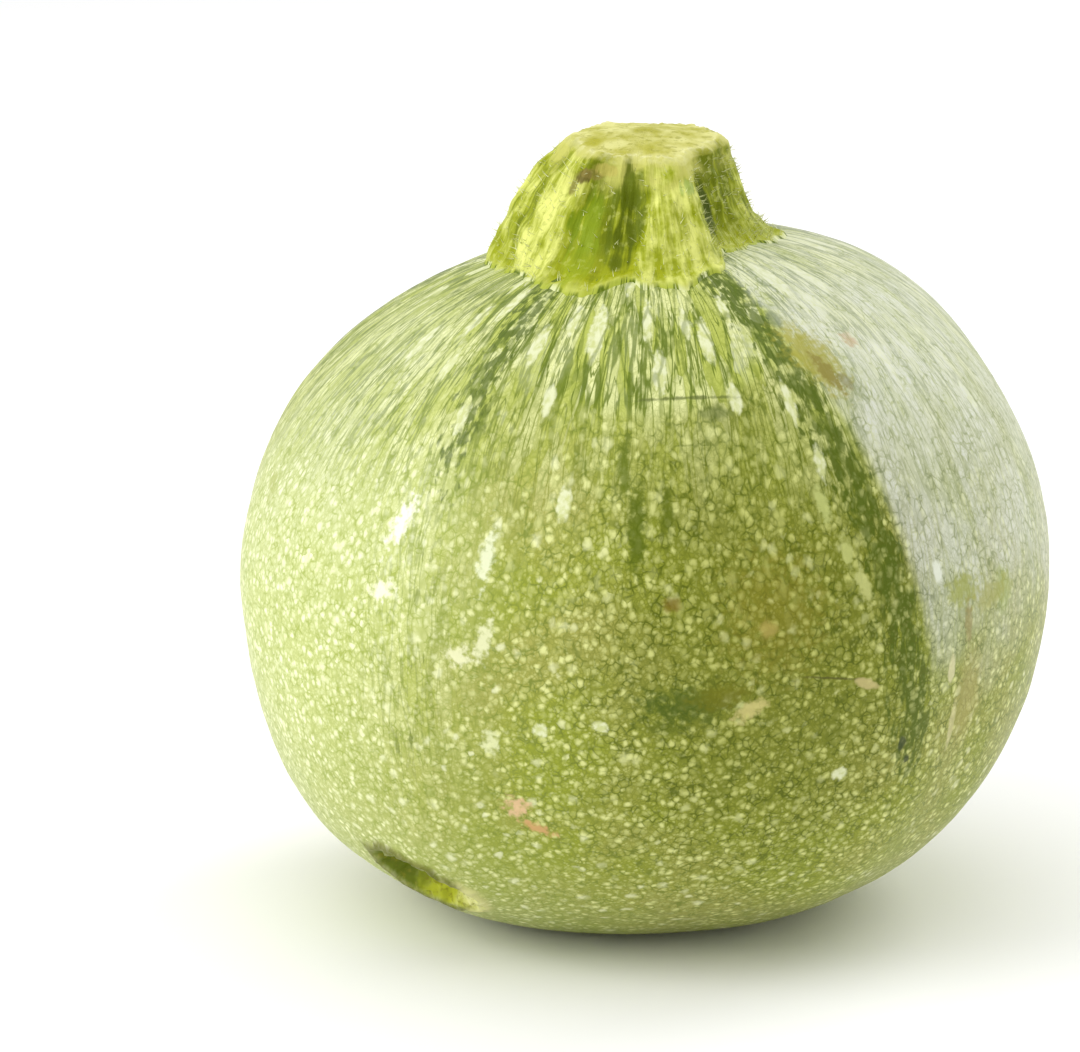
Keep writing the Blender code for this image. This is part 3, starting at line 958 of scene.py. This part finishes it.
def skin_material(cells, flecks, mark):
    material, graph, shader = new_material("courgette_skin")
    blend, span, times = graph.blend, graph.span, graph.times
    place = graph.add("TexCoord").outputs["Object"]
    grain = graph.wobble(graph.attribute("grain", "Vector"), 800.0, 0.7 * MM)
    stripe = graph.attribute("stripe")
    tone_and_painted_light = graph.attribute("tone_and_painted_light")
    runs = graph.noise(graph.scaled(grain, (1.0, 1.0, 0.15)), 1300.0, 3.0)
    dark_stripe = span(graph.shaken(stripe, runs, 2.6), 0.4, 0.8)
    chain = pick_cells(graph, cells, graph.scaled(grain, (1.0, 1.0, 0.45)), CHAIN_SCALE, 0.34, 0.7)
    chain_mask = times(chain["Cell"], span(chain["Random"], 0.35, 0.55))
    dark_stripe = times(
        dark_stripe, span(stripe, 0.06, 0.3), graph.times_add(chain_mask, -0.8, 1.0))
    open_skin = graph.math("SUBTRACT", 1.0, dark_stripe)

    # Net: green, with darker lines and runs
    color = green_net(graph, place, tone_and_painted_light, dark_stripe)
    fine = pick_cells(graph, cells, grain, NET_SCALE, 0.44, 0.6)
    tiny = pick_cells(graph, cells, grain, GRAIN_SCALE, 0.50, 0.3)
    big = pick_cells(graph, cells, grain, SPOT_SCALE, 0.26, 0.6)
    # The net's lines turn paler where light is painted on the left flank and the base, and darker where the
    # tone is darker.
    deep_green = blend(span(tone_and_painted_light, -0.9, 0.6), (158, 172, 78), (84, 96, 4))
    gaps = span(graph.noise(grain, 700.0, 2.0), 0.36, 0.62, 0.15, 0.95)
    net_line = times(fine["Line"], gaps)
    net_line = graph.larger(net_line, times(tiny["Line"], 0.45))
    long_runs = graph.noise(graph.scaled(grain, (1.0, 1.0, 0.25)), 420.0, 4.0)
    net_line = graph.larger(net_line, span(long_runs, 0.52, 0.74, 0.0, 0.55))
    color = blend(net_line, color, deep_green)

    # Pale dots, and larger ones here and there, whiter where light is painted and duller where the tone is
    # darker
    pale = blend(span(tone_and_painted_light, 0.0, 1.0), (218, 222, 146), (190, 194, 106))
    pale = blend(span(tone_and_painted_light, 0.0, -0.9), pale, (245, 248, 206))
    dots = times(fine["Cell"], span(fine["Random"], 0.05, 0.85, 0.22, 0.95))
    grains = times(tiny["Cell"], span(tiny["Random"], 0.1, 0.9, 0.0, 0.42))
    dots = graph.larger(dots, grains)
    dots = graph.larger(dots, times(chain_mask, graph.attribute("chains")))
    mask = times(dots, graph.times_add(open_skin, 0.5, 0.5))
    color = blend(mask, color, pale)
    spots = times(
        big["Cell"], span(big["Random"], 0.58, 0.70), graph.times_add(open_skin, 0.6, 0.2))
    spot_tone = blend(span(tone_and_painted_light, -0.3, 0.5), (244, 246, 204), (210, 214, 142))
    color = blend(times(spots, 0.8), color, spot_tone)

    # Threads that run down the flanks and close up round the stalk
    crown = graph.attribute("crown")
    down = graph.attribute("thread", "Vector")
    thread = use_group(graph, flecks, {"Vector": down, "Line Width": 0.11})
    tone = blend(span(thread["Random"], 0.2, 0.8), (180, 190, 88), (224, 228, 162))
    veins = graph.larger(add_veins(graph, down, 0.8), add_veins(graph, down, 1.7))
    line = graph.larger(times(thread["Line"], 0.3), veins)
    tone = blend(times(net_line, 0.6), tone, (134, 148, 36))
    tone = blend(times(line, 0.9), tone, VEIN_GREEN)
    tone = blend(times(dark_stripe, 0.9), tone, (72, 92, 0))
    threaded = times(graph.attribute("flank"), 0.8)
    threaded = graph.larger(threaded, span(crown, 0.0, 0.5, 0.0, 0.92))
    color = blend(threaded, color, tone)

    # Long whitish flecks under the stalk, between dark lines
    color, outline = add_flecks(graph, flecks, color, grain, crown, open_skin)

    # Grey-white wax, and a painted sheen of reflected light on the lobe beyond the first stripe
    wax_with_painted_sheen = graph.noise(graph.scaled(grain, (1.0, 1.0, 0.4)), 260.0, 4.0)
    wax_with_painted_sheen = times(
        graph.attribute("wax_and_painted_sheen"), span(wax_with_painted_sheen, 0.3, 0.65, 0.62, 1.0),
        graph.times_add(net_line, -0.55, 1.0), graph.times_add(veins, -0.3, 1.0),
        graph.times_add(dots, 0.2, 0.9))
    color = blend(wax_with_painted_sheen, color, (210, 213, 198))
    rough = graph.noise(place, 1300.0, 5.0)
    for row in SKIN_MARKS:
        color = add_mark(graph, mark, place, rough, color, row)

    # Gouge
    run = graph.shaken(graph.attribute("gouge_run"), graph.noise(place, 420.0, 3.0), 1.1)
    flesh = blend(span(run, -0.5, 0.35), (98, 112, 8), (176, 182, 40))
    flesh = blend(span(run, 0.45, 0.95), flesh, (226, 226, 150))
    scrap = graph.noise(place, 1500.0, 3.0)
    flesh = blend(span(scrap, 0.52, 0.66, 0.0, 0.7), flesh, (132, 130, 28))
    # The torn rim: dark at one end, painted shade along the edge, and a pale lip at the other.
    rim = blend(span(run, 0.4, 0.9), (88, 88, 22), (216, 212, 148))
    color = blend(times(graph.attribute("torn"), 0.8), color, rim)
    color = blend(graph.attribute("flesh"), color, flesh)

    # Corky blossom scar in the middle of the base
    scar = graph.shaken(graph.attribute("scar"), rough, 0.5)
    cork = blend(span(rough, 0.4, 0.6), (132, 118, 72), (186, 174, 124))
    cork = blend(span(scar, 0.55, 0.3), cork, (120, 124, 52))
    color = blend(span(scar, 1.1, 0.95), color, cork)

    shader.inputs["IOR"].default_value = 1.45
    shader.inputs["Specular IOR Level"].default_value = 0.2
    graph.feed(shader.inputs["Base Color"], color)
    graph.feed(shader.inputs["Roughness"], span(wax_with_painted_sheen, 0.0, 0.8, 0.40, 0.58))
    relief = graph.times_add(outline, -0.8, mask)
    height = graph.add("Bump", {"Height": relief, "Strength": 0.4, "Distance": 0.07 * MM})
    graph.feed(shader.inputs["Normal"], height.outputs["Normal"])
    return material


def stalk_material(flecks):
    material, graph, shader = new_material("courgette_stalk")
    blend, span, times = graph.blend, graph.span, graph.times
    place = graph.add("TexCoord").outputs["Object"]
    fibre = graph.attribute("fibre", "Vector")
    pale = graph.attribute("pale")
    climb = graph.attribute("climb")
    cut = graph.attribute("cut")
    threads = graph.noise(fibre, 2.2, 4.0)
    blotches = graph.noise(place, 330.0, 4.0)
    uneven = graph.math("ADD", times(threads, 0.9), times(blotches, 0.8))
    pale_mask = graph.math("ADD", graph.times_add(uneven, 2.2, -1.87), pale)
    deep = blend(span(climb, 0.05, 0.45), (160, 168, 12), (106, 118, 0))
    color = blend(span(pale_mask, 0.05, 0.6), deep, (150, 160, 24))
    color = blend(span(pale_mask, 0.4, 1.25), color, (219, 223, 122))
    specks = graph.noise(place, 1300.0, 4.0)
    color = blend(span(specks, 0.54, 0.68, 0.0, 0.35), color, (118, 130, 8))
    color = blend(span(specks, 0.44, 0.34, 0.0, 0.3), color, (214, 219, 124))
    lines = graph.noise(fibre, 7.0, 3.0)
    color = blend(span(lines, 0.56, 0.7, 0.0, 0.4), color, (120, 132, 6))

    # The foot pales towards its edge and runs out into the flecks of the skin
    low = graph.shaken(climb, blotches, 0.14)
    low_pale = times(span(low, 0.14, 0.02), span(threads, 0.4, 0.6, 0.25, 0.8))
    color = blend(low_pale, color, (206, 212, 112))
    merging = span(low, 0.07, 0.02)
    long = use_group(graph, flecks, {"Vector": graph.attribute("streak", "Vector"), **LONG_FLECKS})
    fleck = blend(span(long["Random"], 0.52, 0.60), (164, 176, 60), (212, 217, 160))
    fleck = blend(long["Line"], fleck, (88, 108, 2))
    veins = add_veins(graph, graph.attribute("thread", "Vector"), 0.8)
    fleck = blend(times(veins, 0.8), fleck, VEIN_GREEN)
    color = blend(merging, color, fleck)

    shoulder = times(span(climb, 0.72, 0.98), span(blotches, 0.35, 0.6))
    color = blend(shoulder, color, (190, 190, 96))
    for row in STALK_MARKS:
        color = add_stalk_mark(graph, climb, graph.attribute("turn"), uneven, color, row)
    face = blend(span(blotches, 0.3, 0.7), (168, 166, 50), (214, 212, 136))
    face = blend(span(specks, 0.54, 0.66, 0.0, 0.6), face, (150, 148, 52))
    rim = times(graph.attribute("rim"), span(specks, 0.42, 0.6, 0.0, 0.6))
    face = blend(rim, face, (232, 230, 174))
    color = blend(cut, color, face)
    graph.feed(shader.inputs["Base Color"], color)
    shader.inputs["Specular IOR Level"].default_value = 0.14
    graph.feed(shader.inputs["Roughness"], span(cut, 0.0, 1.0, 0.48, 0.7))
    relief = graph.times_add(lines, -0.8, threads)
    height = graph.add("Bump", {"Height": relief, "Strength": 0.5, "Distance": 0.2 * MM})
    graph.feed(shader.inputs["Normal"], height.outputs["Normal"])
    return material


def add_stalk_mark(graph, climb, turn, uneven, color, row):
    """Lay one row of STALK_MARKS over a colour."""
    azimuth, half_angle, middle, half_climb, strength, tone = row
    across = graph.math("DIVIDE", graph.math("SUBTRACT", turn, azimuth), half_angle)
    along = graph.math("DIVIDE", graph.math("SUBTRACT", climb, middle), half_climb)
    reach = graph.math("ADD", graph.times(across, across), graph.times(along, along))
    reach = graph.math("ADD", graph.times_add(uneven, 4.0, -3.4), reach)
    mask = graph.times(graph.span(reach, 1.3, 0.3), strength)
    return graph.blend(mask, color, tone)


def bristle_material():
    material, graph, shader = new_material("courgette_bristle")
    place = graph.add("TexCoord").outputs["Object"]
    color = graph.blend(graph.noise(place, 600.0), (176, 184, 96), (232, 232, 190))
    graph.feed(shader.inputs["Base Color"], color)
    shader.inputs["Roughness"].default_value = 0.45
    return material


# ---- stage

def make_floor():
    bpy.ops.mesh.primitive_plane_add(size=6.0, location=(0.0, 0.0, 0.0))
    floor = bpy.context.object
    floor.name = "floor"
    material, _, shader = new_material("paper_white")
    shader.inputs["Base Color"].default_value = (0.96, 0.96, 0.96, 1.0)
    shader.inputs["Roughness"].default_value = 0.9
    floor.data.materials.append(material)


def make_light(name, place, aim, size, power):
    data = bpy.data.lights.new(name, "AREA")
    data.shape = "DISK"
    data.size = size
    data.energy = power
    light = linked_object(name, data)
    light.location = place
    light.rotation_euler = (Vector(aim) - Vector(place)).to_track_quat("-Z", "Y").to_euler()


def make_world():
    world = bpy.data.worlds.new("studio")
    world.use_nodes = True
    back = world.node_tree.nodes["Background"]
    back.inputs["Color"].default_value = (1.0, 1.0, 1.0, 1.0)
    back.inputs["Strength"].default_value = 0.80
    bpy.context.scene.world = world


def make_camera():
    data = bpy.data.cameras.new("camera")
    data.lens = CAMERA_LENS
    data.sensor_width = 36.0
    data.clip_start = 0.01
    camera = linked_object("camera", data)
    camera.location = CAMERA_PLACE
    camera.rotation_euler = (CAMERA_AIM - CAMERA_PLACE).to_track_quat("-Z", "Y").to_euler()
    bpy.context.scene.camera = camera


def make_stage():
    make_floor()
    make_world()
    middle = (0.0, 0.0, 0.04)
    make_light("key", (-0.58, -0.22, 0.36), middle, 0.50, 2.3)
    make_light("rim", (0.42, 0.40, 0.42), middle, 0.40, 1.6)
    make_light("top", (-0.10, -0.05, 0.75), middle, 0.90, 1.3)
    make_camera()
    bpy.context.scene.view_settings.view_transform = "Standard"


# ---- assembly

def place_piece(piece, material, node=None):
    piece.data.materials.append(material)
    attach(piece, "root")
    if node:
        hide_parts(node)


make_stage()
cells = cell_group()
flecks = fleck_group()
mark = mark_group()
fruit = make_fruit()
stalk = make_stalk(crown_tree(fruit))
bristles = make_bristles(stalk)
place_piece(fruit, skin_material(cells, flecks, mark), "fruit")
place_piece(stalk, stalk_material(flecks), "stalk_stub")
place_piece(bristles, bristle_material())
